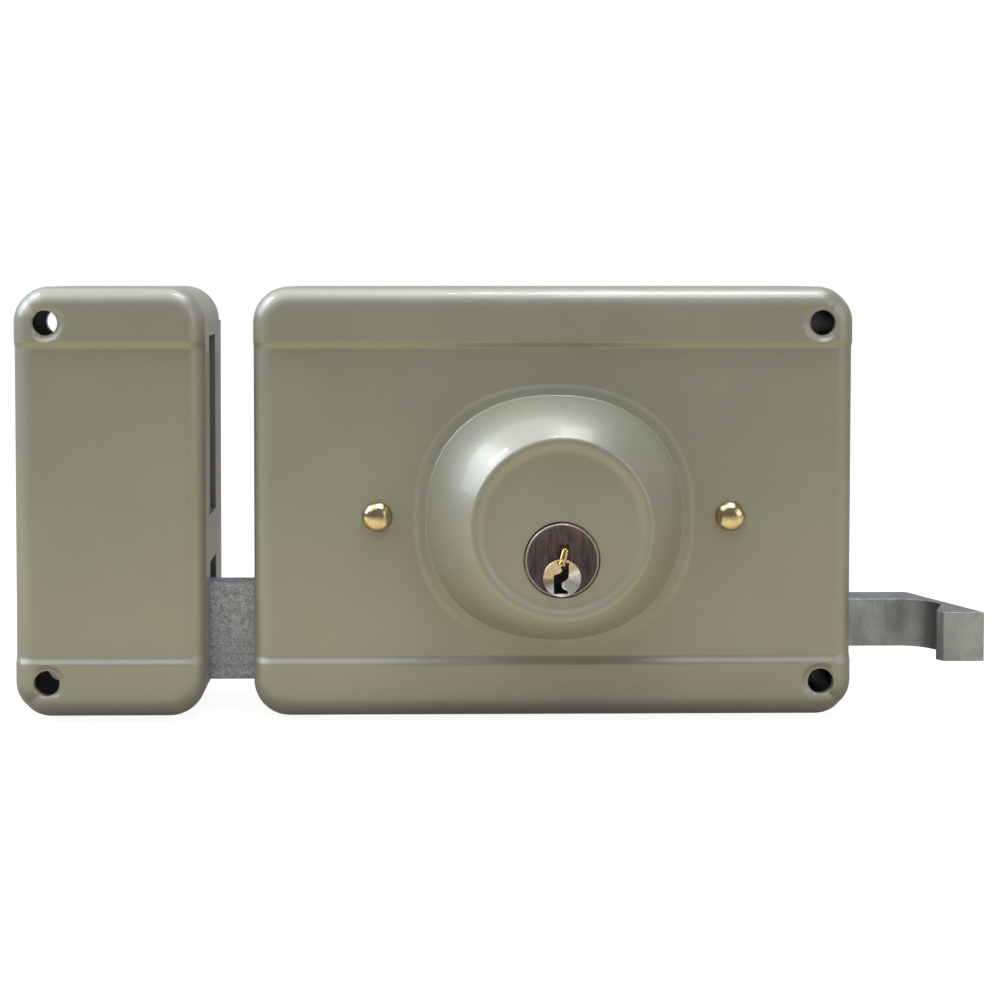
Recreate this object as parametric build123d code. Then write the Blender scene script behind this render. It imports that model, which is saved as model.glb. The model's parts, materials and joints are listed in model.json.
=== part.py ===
from build123d import *
import math
import os

# Armoured rim lock: a case with deadbolt, latch, pull hook and pin cylinder, and its strike box.
# Millimetres. X to the right, Y into the door, Z up. The origin is the middle of the face
# that lies on the door, so every piece in front of the door has a negative Y.

# Case and strike covers
case_half_x = 75.0
cover_half_z = 53.8
cover_depth = 36.0
door_gap = 12.0
strike_width = 47.5
skin = 1.5
corner_r = 9.0
edge_r = 4.5
panel_drop = 1.0
band_height = 13.3
step_run = 2.3
fit_gap = 0.2
over = 1.0
step_top_z = cover_half_z - band_height
step_foot_z = step_top_z - step_run
panel_y = panel_drop - cover_depth
inner_y = panel_y + skin
strike_right = -case_half_x - door_gap
strike_left = strike_right - strike_width

# Fixing holes through the covers, with a dished ring round each
fixing_r = 3.15
fixing_z = cover_half_z - 9.0
case_fixing_x = case_half_x - 8.3
strike_fixing_x = strike_left + 8.4
dish_r = 5.0
dish_depth = 0.8
sleeve_r = 4.0

# Dome round the cylinder
dome_z = -3.5
dome_ring_r = 33.0
dome_ring_rise = 0.3
dome_foot_r = 31.0
dome_height = 21.5
nose_r = 22.3
crest_outer_r = 21.4
crest_inner_r = 20.2
nose_face_r = 18.9
nose_face_drop = 0.8
dome_wall = 2.2
dome_ring_y = panel_y - dome_ring_rise
crest_y = panel_y - dome_height
nose_y = crest_y + 0.7
nose_face_y = crest_y + nose_face_drop
nose_inner_y = nose_face_y + 1.7

# The dome's bulging side, from its foot to its nose: four control points of a curve
foot_pull = 0.43 * dome_height
nose_pull = 0.24 * dome_height
dome_side = [
    (dome_foot_r, dome_ring_y),
    (dome_foot_r - 0.12 * foot_pull, dome_ring_y - foot_pull),
    (nose_r + 0.9 * nose_pull, nose_y + nose_pull),
    (nose_r, nose_y),
]

# Cylinder: body, plug and pins
barrel_front_r = 8.7
barrel_rear_r = 11.0
barrel_gap = 0.45
barrel_z = dome_z - 7.3
barrel_front_y = crest_y + 0.2
flange_r = 16.0
flange_t = 3.0
plug_r = 4.5
plug_z = barrel_z - 4.3
running_gap = 0.05
pin_count = 5
pin_pitch = 4.0
pin_r = 1.15
first_pin_y = crest_y + 5.5
last_pin_y = first_pin_y + (pin_count - 1) * pin_pitch
shear_gap = 0.1
driver_length = 3.6
cap_half_x = 1.5
cap_t = 1.3
cap_low_z = barrel_z + barrel_rear_r - 1.5
notch_xs = (-0.9, 1.7)
notch_top_z = barrel_z + 3.8
notch_depth = 0.5
notch_pin_r = 0.8
notch_pin_top = (0.85, barrel_front_y - 0.2, barrel_z + 2.9)
notch_pin_foot = (-0.35, barrel_front_y - 1.4, barrel_z - 1.1)
cylinder_screw_xs = (-13.5, 13.5)
cylinder_screw_r = 1.5

# Sheet thicknesses of the inner structure
plate_t = 2.0
back_plate_front = -plate_t
armour_half_z = 30.0
armour_back_y = inner_y + plate_t
flange_back_y = armour_back_y + flange_t

# Dome screws
dome_screw_x = 44.0
dome_screw_head_r = 3.8
dome_screw_head_t = 2.4
dome_screw_r = 2.0
nut_t = 3.0
nut_across = 7.0
armour_half_x = dome_screw_x + 11.0

# Bolt guide behind the case's left wall, and the keeper behind the strike's right wall
stand_off = 1.8
guide_gap = 0.3
window_gap = 0.8
guide_left = -case_half_x + skin + stand_off
guide_right = guide_left + plate_t
guide_half_z = cover_half_z - 5.0
flat_half_z = cover_half_z - corner_r
guide_foot = 6.0
keeper_width = 17.7
keeper_right = strike_right - skin - stand_off
keeper_left = keeper_right - keeper_width

# Deadbolt and its toothed tail
throw = 8 * math.pi
bolt_length = 40.5
bolt_thickness = 12.0
bolt_height = 44.0
bolt_low_z = -3.7
bolt_tip_chamfer = 0.8
tail_t = 4.0
tail_clearance = 2.5
tail_front_y = flange_back_y + tail_clearance
bolt_front_y = tail_front_y + tail_t
bolt_back_y = bolt_front_y + bolt_thickness
bolt_high_z = bolt_low_z + bolt_height
bolt_left = -case_half_x + 0.5
bolt_right = bolt_left + bolt_length
tail_left = guide_right + guide_gap + 0.2 + throw
tail_right = throw + 7.0
tail_top_z = 20.0
tail_joint_top_z = 34.0
tail_joint_right = bolt_right - 1.0
tail_rivet_x = (tail_left + bolt_right) / 2
tail_rivet_zs = (-0.5, 11.5, 24.5)
tail_rivet_end_y = bolt_front_y + 8.0
roller_zs = (5.0, 18.0, 31.0)
roller_y = (bolt_front_y + bolt_back_y) / 2
roller_r = 2.5
roller_left = bolt_left + 3.5
guide_pin_first = 6.0
guide_pin_pitch = 20.0
guide_pin_xs = (bolt_right + guide_pin_first, bolt_right + guide_pin_first + guide_pin_pitch)
guide_pin_z = 8.0
guide_pin_r = 2.5
guide_pin_head_r = 4.5
guide_slot_gap = 0.1

# Pinion on the plug, one turn of it throws the deadbolt
gear_module = 1.0
pinion_teeth = 8
pitch_r = gear_module * pinion_teeth / 2
pressure_angle = math.radians(28)
addendum = 0.8
dedendum = 1.0
tooth_slack = 0.12
rack_first_tooth = -2
rack_last_tooth = 9
hub_r = 3.0
pinion_back_y = tail_front_y + tail_t
rack_pitch_z = plug_z + pitch_r
rack_root_z = rack_pitch_z + dedendum
blade_half_x = 0.8
blade_half_z = 2.0
clip_inner_r = 2.3
clip_outer_r = 5.4
clip_front_y = flange_back_y + fit_gap
clip_back_y = clip_front_y + 1.0
outer_screw_xs = (-12.0, 12.0)
outer_screw_r = 2.2

# Latch, its carriage and the pull hook
latch_travel = 19.5
latch_length = 39.5
latch_thickness = 7.0
latch_height = 25.0
latch_left = -case_half_x - latch_travel
latch_right = latch_left + latch_length
latch_front_y = bolt_front_y
latch_back_y = latch_front_y + latch_thickness
latch_low_z = 6.8 - cover_half_z
latch_high_z = latch_low_z + latch_height
carriage_t = 3.0
carriage_inset = 3.0
carriage_left = guide_right + guide_gap
carriage_right = case_half_x - skin - latch_travel - 1.0
carriage_back_y = latch_back_y + carriage_t
carriage_low_z = latch_low_z + carriage_inset
carriage_high_z = latch_high_z - carriage_inset
hook_height = 12.4
hook_depth = 9.9
hook_low_z = latch_low_z + 6.5
hook_high_z = hook_low_z + hook_height
hook_mid_z = (hook_low_z + hook_high_z) / 2
hook_front_y = latch_back_y - fit_gap
hook_back_y = hook_front_y + hook_depth
hook_tail_left = carriage_right - 18.0
carriage_step_x = hook_tail_left - 5.0
hook_rivet_xs = (carriage_right - 13.0, carriage_right - 5.0)
hook_rivet_end_y = hook_back_y - 1.7
latch_rivet_x = (carriage_left + latch_right) / 2
latch_rivet_zs = (carriage_low_z + 3.0, carriage_high_z - 3.5)
latch_rivet_end_y = latch_front_y + 2.0
spring_length = 43.0
spring_mean_r = 2.9
spring_wire_r = 0.5
spring_turns = 11
spring_y = carriage_back_y + 4.4
spring_z = hook_mid_z
spring_right = hook_tail_left - 10.0
spring_left = spring_right - spring_length
tab_half_z = 4.0
rod_r = 1.2
rod_reach = 8.0
stop_foot = 7.0

# Outline of the hook in X and Y
hook_reach = 33.6
hook_rise = 17.8
hook_neck = 22.0
hook_lip = 23.4
hook_heel = (case_half_x + hook_neck, hook_back_y)
hook_tip_back = (case_half_x + hook_reach, hook_front_y - hook_rise)
hook_tip_front = (case_half_x + hook_lip, hook_front_y - hook_rise)
hook_tip_chamfer = (case_half_x + hook_neck, hook_front_y - hook_rise + 2.0)
hook_inner_r = 8.5
hook_inner_centre = (case_half_x + 17.6, hook_front_y - hook_inner_r)

# Openings in the strike's side, for the deadbolt and for the latch
strike_mouth_y = (bolt_front_y - 2.0, bolt_back_y + 0.8)
deadbolt_mouth_z = (bolt_low_z - 0.9, bolt_high_z + 0.9)
latch_mouth_z = (latch_low_z - 1.0, latch_high_z + 5.3)

# Strike plate: flange on the frame, shelf for the screws, leg along the frame's edge
leg_gap = 1.1
strike_plate_right = strike_right - skin - leg_gap
strike_flange_width = 22.4
strike_step_x = strike_plate_right - strike_flange_width
shelf_depth = 18.5
leg_half_z = 44.0
leg_depth = 28.0
leg_hole_y = 15.0
leg_hole_zs = (-30.0, 30.0)
leg_hole_r = 2.3
strike_rivet_x = (keeper_left + keeper_right) / 2
strike_rivet_zs = (-36.0, 0.0, 36.0)

# Posts that hold the case cover to the back plate
post_r = 3.0
post_z = cover_half_z - 5.8
post_places = ((-40.0, post_z), (40.0, post_z), (-24.0, -post_z), (40.0, -post_z))
post_screw_r = 2.0
post_screw_head_r = 2.9
post_screw_length = 12.0

rivet_r = 1.48
rivet_hole_r = 1.5
rivet_head_r = 2.6
rivet_head_t = 0.8

parts = {}


# Shape helpers

def block(x0, x1, y0, y1, z0, z1):
    middle = Pos((x0 + x1) / 2, (y0 + y1) / 2, (z0 + z1) / 2)
    return middle * Box(x1 - x0, y1 - y0, z1 - z0)


def rod_x(y, z, r, x0, x1):
    return Pos((x0 + x1) / 2, y, z) * Rot(0, 90, 0) * Cylinder(r, x1 - x0)


def rod_y(x, z, r, y0, y1):
    return Pos(x, (y0 + y1) / 2, z) * Rot(90, 0, 0) * Cylinder(r, y1 - y0)


def rod_z(x, y, r, z0, z1):
    return Pos(x, y, (z0 + z1) / 2) * Cylinder(r, z1 - z0)


def slab(outline, y0, y1):
    # An outline in X and Z, pulled from y1 forward to y0
    facing = Plane(origin=(0, y1, 0), x_dir=(1, 0, 0), z_dir=(0, -1, 0))
    return extrude(facing * outline, y1 - y0)


def side_slab(outline, x0, x1):
    # An outline in Y and Z, pulled from x0 to x1
    sideways = Plane(origin=(x0, 0, 0), x_dir=(0, 1, 0), z_dir=(1, 0, 0))
    return extrude(sideways * outline, x1 - x0)


def turned(points, x, z):
    # Radius and Y pairs, turned about an axis along Y
    outline = Polygon(*points, align=None)
    return Pos(x, 0, z) * revolve(outline, Axis.Y)


def turned_side(before, side, after, x, z):
    # Straight lines, a curve through control points and straight lines, turned about an axis along Y
    outline = Polyline(*before, side[0]) + Bezier(*side) + Polyline(side[-1], *after, before[0])
    return Pos(x, 0, z) * revolve(make_face(outline.edges()), Axis.Y)


def rounded_slab(x0, x1, half_z, radius, y0, y1):
    outline = RectangleRounded(x1 - x0, 2 * half_z, radius)
    return slab(Pos((x0 + x1) / 2, 0) * outline, y0, y1)


def front_rounded(body, radius):
    front = body.faces().sort_by(Axis.Y)[0]
    return fillet(front.edges(), radius)


def rivet(x, z, y_head, y_end):
    # A rivet along Y with its head outside y_head, on the side away from y_end
    outward = math.copysign(1, y_head - y_end)
    shank = rod_y(x, z, rivet_r, min(y_head, y_end), max(y_head, y_end))
    top = y_head + outward * rivet_head_t
    head = rod_y(x, z, rivet_head_r, min(y_head, top), max(y_head, top))
    rim = head.edges().filter_by(GeomType.CIRCLE).filter_by_position(Axis.Y, top - 0.01, top + 0.01)
    return shank + chamfer(rim, 0.4)


# Covers

def banded_cover(x0, x1):
    # A rounded box, open at the back, whose middle panel lies below a band above and below it
    panel = front_rounded(rounded_slab(x0, x1, cover_half_z, corner_r, panel_y, 0), edge_r)
    full = front_rounded(rounded_slab(x0, x1, cover_half_z, corner_r, -cover_depth, 0), edge_r)
    slope = (step_top_z - step_foot_z) / panel_drop
    beyond = 2.0
    band_side = Polygon(
        (-cover_depth - beyond, step_top_z + slope * beyond),
        (panel_y, step_foot_z),
        (0, step_foot_z),
        (0, cover_half_z + beyond),
        (-cover_depth - beyond, cover_half_z + beyond),
        align=None,
    )
    upper_zone = side_slab(band_side, x0 - 1, x1 + 1)
    lower_zone = mirror(upper_zone, Plane.XY)
    body = panel + (full & upper_zone) + (full & lower_zone)
    return body - cover_hollow(x0, x1)


def cover_hollow(x0, x1):
    room = rounded_slab(x0 + skin, x1 - skin, cover_half_z - skin, corner_r - skin, inner_y, 0)
    return front_rounded(room, edge_r - skin)


def dished_hole(x, z):
    below = -cover_depth + dish_depth
    dish = [
        (0, -cover_depth - 1),
        (dish_r + 1, -cover_depth - 1),
        (dish_r, -cover_depth),
        (fixing_r, below),
        (fixing_r, inner_y + 1),
        (0, inner_y + 1),
    ]
    return turned(dish, x, z)


def make_case_cover():
    cover = banded_cover(-case_half_x, case_half_x)
    dome_foot = [(0, inner_y), (dome_ring_r, inner_y), (dome_ring_r, panel_y)]
    dome_nose = [
        (crest_outer_r, crest_y),
        (crest_inner_r, crest_y),
        (nose_face_r, nose_face_y),
        (0, nose_face_y),
    ]
    cover += turned_side(dome_foot, dome_side, dome_nose, 0, dome_z)
    roof = nose_inner_y - nose_y
    inner_side = [(r - dome_wall, y + roof) for r, y in dome_side]
    hollow_foot = [(0, inner_y + over), (dome_foot_r - dome_wall, inner_y + over)]
    cover -= turned_side(hollow_foot, inner_side, [(0, nose_inner_y)], 0, dome_z)
    cover -= rod_y(0, barrel_z, barrel_front_r + barrel_gap, crest_y - 1, nose_inner_y + 1)
    for x in (-dome_screw_x, dome_screw_x):
        cover -= rod_y(x, dome_z, dome_screw_r + fit_gap, panel_y - 1, inner_y + 1)
    for z in (-fixing_z, fixing_z):
        cover -= dished_hole(case_fixing_x, z)
    wall = (-case_half_x - 1, -case_half_x + skin + 5)
    cover -= bolt_window(wall, bolt_front_y, bolt_back_y, bolt_low_z, bolt_high_z, window_gap)
    cover -= bolt_window(wall, latch_front_y, latch_back_y, latch_low_z, latch_high_z, window_gap)
    hook_wall = (case_half_x - skin - 1, case_half_x + 1)
    hook_gap = 0.5
    cover -= bolt_window(hook_wall, hook_front_y, hook_back_y, hook_low_z, hook_high_z, hook_gap)
    return cover


def bolt_window(xs, y0, y1, z0, z1, gap):
    return block(xs[0], xs[1], y0 - gap, y1 + gap, z0 - gap, z1 + gap)


def strike_mouths(x0, x1):
    y0, y1 = strike_mouth_y
    upper = block(x0, x1, y0, y1, deadbolt_mouth_z[0], deadbolt_mouth_z[1])
    lower = block(x0, x1, y0, y1, latch_mouth_z[0], latch_mouth_z[1])
    corner = lower.edges().filter_by(Axis.X).sort_by(Axis.Y)[:2].sort_by(Axis.Z)[-1]
    return upper + fillet(corner, 5.0)


def make_strike_cover():
    cover = banded_cover(strike_left, strike_right)
    for z in (-fixing_z, fixing_z):
        cover -= dished_hole(strike_fixing_x, z)
    return cover - strike_mouths(strike_right - skin - 2.5, strike_right + 1)


# Fixed structure of the case

def make_back_plate():
    plate_gap = skin + fit_gap
    plate = rounded_slab(
        -case_half_x + plate_gap,
        case_half_x - plate_gap,
        cover_half_z - plate_gap,
        corner_r - plate_gap,
        back_plate_front,
        0,
    )
    plate -= rod_y(0, plug_z, hub_r + running_gap, back_plate_front - 1, 1)
    for x in outer_screw_xs:
        plate -= rod_y(x, plug_z, outer_screw_r, back_plate_front - 1, 1)
    for z in (-fixing_z, fixing_z):
        plate -= rod_y(case_fixing_x, z, fixing_r, back_plate_front - 1, 1)
    for x, z in post_places:
        plate -= countersink(x, z)
    for x in guide_pin_xs:
        plate -= rod_y(x, guide_pin_z, guide_pin_r, back_plate_front - 1, 1)
    return plate


def countersink(x, z, slack=fit_gap):
    wide = post_screw_head_r + slack
    narrow = post_screw_r + slack
    points = [
        (0, 1),
        (wide, 1),
        (wide, 0),
        (narrow, -1.2),
        (narrow, back_plate_front - 1),
        (0, back_plate_front - 1),
    ]
    return turned(points, x, z)


def make_back_plate_screws():
    screws = Compound(children=[post_screw(x, z) for x, z in post_places])
    return screws


def post_screw(x, z):
    points = [
        (0, -0.1),
        (post_screw_head_r, -0.1),
        (post_screw_r - running_gap, -1.2),
        (post_screw_r - running_gap, -post_screw_length),
        (0, -post_screw_length),
    ]
    drive = block(x - 2, x + 2, -0.9, 1, z - 0.5, z + 0.5)
    return turned(points, x, z) - drive


def make_cover_posts():
    # Trimmed to the rounded inside of the cover that they are welded to
    room = cover_hollow(-case_half_x, case_half_x)
    posts = []
    for x, z in post_places:
        post = rod_y(x, z, post_r, inner_y, back_plate_front)
        bore = rod_y(x, z, post_screw_r, -post_screw_length - 2, back_plate_front + 1)
        posts += ((post & room) - bore).solids()
    return Compound(children=posts)


def make_screw_sleeves():
    room = cover_hollow(-case_half_x, case_half_x)
    sleeves = []
    for z in (-fixing_z, fixing_z):
        tube = rod_y(case_fixing_x, z, sleeve_r, inner_y, back_plate_front)
        bore = rod_y(case_fixing_x, z, fixing_r, inner_y - 1, back_plate_front + 1)
        sleeves += ((tube & room) - bore).solids()
    return Compound(children=sleeves)


def make_armour_plate():
    plate = rounded_slab(-armour_half_x, armour_half_x, armour_half_z, 3.0, inner_y, armour_back_y)
    plate -= rod_y(0, barrel_z, barrel_rear_r + 0.1, inner_y - 1, armour_back_y + 1)
    for x in (-dome_screw_x, dome_screw_x):
        plate -= rod_y(x, dome_z, dome_screw_r + fit_gap, inner_y - 1, armour_back_y + 1)
    for x in cylinder_screw_xs:
        plate -= rod_y(x, barrel_z, cylinder_screw_r, inner_y - 1, armour_back_y + 1)
    return plate


def make_dome_screw(x):
    # Plain domed head, threaded shank ending just behind its nut
    head_y = panel_y - dome_screw_head_t
    sphere_r = (dome_screw_head_r ** 2 + dome_screw_head_t ** 2) / (2 * dome_screw_head_t)
    ball = Pos(x, head_y + sphere_r, dome_z) * Sphere(sphere_r)
    head = ball & rod_y(x, dome_z, dome_screw_head_r, head_y - 1, panel_y)
    shank_r = dome_screw_r - running_gap
    return head + rod_y(x, dome_z, shank_r, panel_y, armour_back_y + nut_t + 0.5)


def make_dome_screw_nuts():
    nuts = []
    for x in (-dome_screw_x, dome_screw_x):
        outline = Pos(x, dome_z) * RegularPolygon(nut_across / 2, 6, major_radius=False)
        nut = slab(outline, armour_back_y, armour_back_y + nut_t)
        nuts.append(nut - rod_y(x, dome_z, dome_screw_r, armour_back_y - 1, armour_back_y + nut_t + 1))
    return Compound(children=nuts)


def make_bolt_guide_plate():
    foot_right = guide_right + guide_foot
    foot_y = back_plate_front - plate_t
    plate = block(guide_left, guide_right, inner_y, back_plate_front, -guide_half_z, guide_half_z)
    plate += block(guide_left, foot_right, foot_y, back_plate_front, -flat_half_z, flat_half_z)
    across = (guide_left - over, guide_right + over)
    plate -= bolt_window(across, bolt_front_y, bolt_back_y, bolt_low_z, bolt_high_z, guide_gap)
    plate -= bolt_window(across, latch_front_y, latch_back_y, latch_low_z, latch_high_z, guide_gap)
    return plate & cover_hollow(-case_half_x, case_half_x)


def make_deadbolt_guide_pins():
    pins = []
    for x in guide_pin_xs:
        shank = rod_y(x, guide_pin_z, guide_pin_r - 0.02, tail_front_y - fit_gap, 0)
        collar = rod_y(x, guide_pin_z, guide_pin_head_r - 0.5, bolt_front_y + fit_gap, back_plate_front)
        head = rod_y(x, guide_pin_z, guide_pin_head_r, tail_front_y - 2.0, tail_front_y - fit_gap)
        pins.append(shank + collar + head)
    return Compound(children=pins)


# Deadbolt

def make_deadbolt():
    head = block(bolt_left, bolt_right, bolt_front_y, bolt_back_y, bolt_low_z, bolt_high_z)
    tip = head.faces().sort_by(Axis.X)[0].edges()
    head = chamfer(tip, bolt_tip_chamfer)
    for z in roller_zs:
        head -= rod_x(roller_y, z, roller_r + 0.03, roller_left, bolt_right + 1)
    for z in tail_rivet_zs:
        head -= rod_y(tail_rivet_x, z, rivet_hole_r, bolt_front_y - 1, tail_rivet_end_y)
    return head


def make_deadbolt_rollers():
    rollers = []
    for z in roller_zs:
        pin = rod_x(roller_y, z, roller_r, roller_left, bolt_right - 1)
        rims = pin.edges().filter_by(GeomType.CIRCLE)
        rollers.append(chamfer(rims, 0.4))
    return Compound(children=rollers)


def rack_tooth(middle_x):
    half = (math.pi * gear_module / 2 - tooth_slack) / 2
    tip_half = half - addendum * math.tan(pressure_angle)
    root_half = half + dedendum * math.tan(pressure_angle)
    tip_z = rack_pitch_z - addendum
    outline = Polygon(
        (middle_x - root_half, rack_root_z + 0.5),
        (middle_x - root_half, rack_root_z),
        (middle_x - tip_half, tip_z),
        (middle_x + tip_half, tip_z),
        (middle_x + root_half, rack_root_z),
        (middle_x + root_half, rack_root_z + 0.5),
        align=None,
    )
    return slab(outline, tail_front_y, bolt_front_y)


def make_deadbolt_tail():
    tail = block(tail_left, tail_right, tail_front_y, bolt_front_y, rack_root_z, tail_top_z)
    tail += block(tail_left, tail_joint_right, tail_front_y, bolt_front_y, rack_root_z, tail_joint_top_z)
    slot_r = guide_pin_r + guide_slot_gap
    slot_left = min(guide_pin_xs)
    slot_right = max(guide_pin_xs) + throw
    slot_middle = (slot_left + slot_right) / 2
    slot_outline = SlotOverall(slot_right - slot_left + 2 * slot_r, 2 * slot_r)
    tail -= slab(Pos(slot_middle, guide_pin_z) * slot_outline, tail_front_y - 1, bolt_front_y + 1)
    for number in range(rack_first_tooth, rack_last_tooth + 1):
        tail += rack_tooth((number + 0.5) * math.pi * gear_module)
    for z in tail_rivet_zs:
        tail -= rod_y(tail_rivet_x, z, rivet_hole_r, tail_front_y - 1, bolt_front_y + 1)
    return tail


def make_tail_rivets():
    rivets = [rivet(tail_rivet_x, z, tail_front_y, tail_rivet_end_y) for z in tail_rivet_zs]
    return Compound(children=rivets)


# Latch and pull hook

def make_latch_bolt():
    head = block(latch_left, latch_right, latch_front_y, latch_back_y, latch_low_z, latch_high_z)
    bevel_depth = 3.0
    bevel_length = 5.0
    bevel = Polygon(
        (latch_left - 1, latch_back_y - bevel_depth * (1 + 1 / bevel_length)),
        (latch_left + bevel_length, latch_back_y),
        (latch_left + bevel_length, latch_back_y + 1),
        (latch_left - 1, latch_back_y + 1),
        align=None,
    )
    head -= Pos(0, 0, latch_low_z - 1) * extrude(bevel, latch_high_z - latch_low_z + 2)
    front_tip = head.edges().filter_by(Axis.Z).sort_by(Axis.X)[:2].sort_by(Axis.Y)[0]
    head = chamfer(front_tip, bolt_tip_chamfer)
    for z in latch_rivet_zs:
        x = latch_rivet_x
        head -= rod_y(x, z, rivet_hole_r, latch_rivet_end_y, latch_back_y + 1)
    return head


def make_latch_carriage():
    wide = block(
        carriage_left, carriage_step_x, latch_back_y, carriage_back_y, carriage_low_z, carriage_high_z
    )
    narrow = block(
        carriage_step_x, carriage_right, latch_back_y, carriage_back_y, hook_low_z + 0.5, hook_high_z - 0.5
    )
    tab_back_y = 2 * spring_y - carriage_back_y - 1.0
    tab_z = (spring_z - tab_half_z, spring_z + tab_half_z)
    tab = block(spring_left - plate_t, spring_left, carriage_back_y, tab_back_y, *tab_z)
    carriage = wide + narrow + tab
    carriage -= rod_x(spring_y, spring_z, rod_r + 0.4, spring_left - plate_t - over, spring_left + over)
    window_edge = 5.0
    carriage -= block(
        latch_right + 3.0,
        spring_left - 8.0,
        latch_back_y - over,
        carriage_back_y + over,
        carriage_low_z + window_edge,
        carriage_high_z - window_edge,
    )
    for z in latch_rivet_zs:
        x = latch_rivet_x
        carriage -= rod_y(x, z, rivet_hole_r, latch_back_y - 1, carriage_back_y + 1)
    for x in hook_rivet_xs:
        carriage -= rod_y(x, hook_mid_z, rivet_hole_r, latch_back_y - 1, carriage_back_y + 1)
    return carriage


def make_latch_rivets():
    rivets = [rivet(latch_rivet_x, z, carriage_back_y, latch_rivet_end_y) for z in latch_rivet_zs]
    return Compound(children=rivets)


def make_hook_rivets():
    rivets = [rivet(x, hook_mid_z, latch_back_y, hook_rivet_end_y) for x in hook_rivet_xs]
    return Compound(children=rivets)


def make_pull_hook():
    arc_end = (
        hook_inner_centre[0] + hook_inner_r * math.sin(math.radians(81)),
        hook_inner_centre[1] + hook_inner_r * math.cos(math.radians(81)),
    )
    arc_middle = (
        hook_inner_centre[0] + hook_inner_r * math.sin(math.radians(40)),
        hook_inner_centre[1] + hook_inner_r * math.cos(math.radians(40)),
    )
    arc_start = (hook_inner_centre[0], hook_front_y)
    step_x = carriage_right + 0.2
    outline = Polyline(
        arc_start,
        (step_x, hook_front_y),
        (step_x, carriage_back_y),
        (hook_tail_left, carriage_back_y),
        (hook_tail_left, hook_back_y),
        hook_heel,
        hook_tip_back,
        hook_tip_front,
        hook_tip_chamfer,
        arc_end,
    ) + ThreePointArc(arc_end, arc_middle, arc_start)
    hook = Pos(0, 0, hook_low_z) * extrude(make_face(outline.edges()), hook_high_z - hook_low_z)
    for x in hook_rivet_xs:
        hook -= rod_y(x, hook_mid_z, rivet_hole_r, carriage_back_y - 1, hook_rivet_end_y)
    return hook


def make_latch_spring_stop():
    post_right = spring_right + plate_t
    foot_right = post_right + stop_foot
    foot_y = back_plate_front - 1.5
    across = (spring_z - tab_half_z, spring_z + tab_half_z)
    post = block(spring_right, post_right, carriage_back_y + 0.4, back_plate_front, *across)
    foot = block(spring_right, foot_right, foot_y, back_plate_front, *across)
    rod = rod_x(spring_y, spring_z, rod_r, spring_left - rod_reach, spring_right + over)
    return post + foot + rod


def make_latch_spring():
    length = spring_right - spring_left - 2 * spring_wire_r
    path = Helix(length / spring_turns, length, spring_mean_r)
    start = path @ 0
    along = path % 0
    wire = Plane(origin=start, z_dir=along) * Circle(spring_wire_r)
    coil = sweep(wire, path)
    return Pos(spring_left + spring_wire_r, spring_y, spring_z) * Rot(0, 90, 0) * coil


# Cylinder

def make_cylinder_body():
    profile = [
        (0, barrel_front_y),
        (barrel_front_r - 0.3, barrel_front_y),
        (barrel_front_r, barrel_front_y + 0.3),
        (barrel_front_r, nose_inner_y),
        (barrel_rear_r, nose_inner_y),
        (barrel_rear_r, armour_back_y),
        (flange_r, armour_back_y),
        (flange_r, flange_back_y),
        (0, flange_back_y),
    ]
    body = turned(profile, 0, barrel_z)
    body -= rod_y(0, plug_z, plug_r + running_gap, barrel_front_y - 1, flange_back_y + 1)
    for number in range(pin_count):
        y = first_pin_y + number * pin_pitch
        body -= rod_z(0, y, pin_r + running_gap, plug_z + plug_r - 0.5, cap_low_z + 0.5)
    slot_top_z = barrel_z + barrel_rear_r + over
    body -= block(-cap_half_x, cap_half_x, first_pin_y - 2, last_pin_y + 2, cap_low_z, slot_top_z)
    notch_ys = (barrel_front_y - over, barrel_front_y + notch_depth)
    body -= block(notch_xs[0], notch_xs[1], *notch_ys, plug_z + plug_r - over, notch_top_z)
    for x in cylinder_screw_xs:
        body -= rod_y(x, barrel_z, cylinder_screw_r + 0.1, armour_back_y - 1, flange_back_y + 1)
    return body


def make_notch_pin():
    top = Vector(*notch_pin_top)
    foot = Vector(*notch_pin_foot)
    facing = Plane(origin=foot, z_dir=top - foot)
    pin = extrude(facing * Circle(notch_pin_r), (top - foot).length)
    return chamfer(pin.edges().filter_by(GeomType.CIRCLE), 0.2)


def make_pin_chamber_cap():
    return block(-cap_half_x, cap_half_x, first_pin_y - 2, last_pin_y + 2, cap_low_z, cap_low_z + cap_t)


def make_cylinder_screws():
    screws = []
    for x in cylinder_screw_xs:
        shank = rod_y(x, barrel_z, cylinder_screw_r - 0.02, inner_y + 0.3, flange_back_y)
        head = rod_y(x, barrel_z, 2.6, flange_back_y, flange_back_y + 1.8)
        drive = block(x - 3, x + 3, flange_back_y + 1.0, flange_back_y + 3, barrel_z - 0.4, barrel_z + 0.4)
        screws.append(shank + head - drive)
    return Compound(children=screws)


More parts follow.
